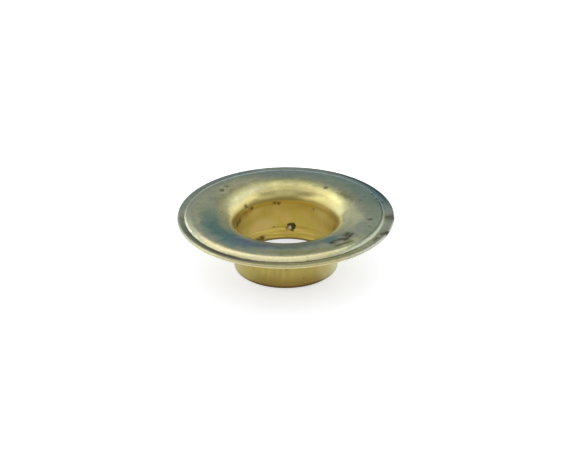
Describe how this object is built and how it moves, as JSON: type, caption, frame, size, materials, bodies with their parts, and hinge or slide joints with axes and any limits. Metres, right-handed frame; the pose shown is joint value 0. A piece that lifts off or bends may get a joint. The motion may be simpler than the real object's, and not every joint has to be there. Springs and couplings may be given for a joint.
{
  "type": "grommet eyelet",
  "caption": "Sheet-brass grommet eyelet: a broad round flange with a stepped lip, rolled into a short open barrel.",
  "frame": {"origin": "centre of the barrel's open end, on which the eyelet stands", "axes": "+Z along the bore, from the barrel's open end up to the flange"},
  "size_m": [0.02, 0.02, 0.0054],
  "materials": {
    "brass": "satin sheet brass, dulled and lightly spotted"
  },
  "bodies": {
    "root": {"eyelet": "brass"}
  },
  "joints": []
}
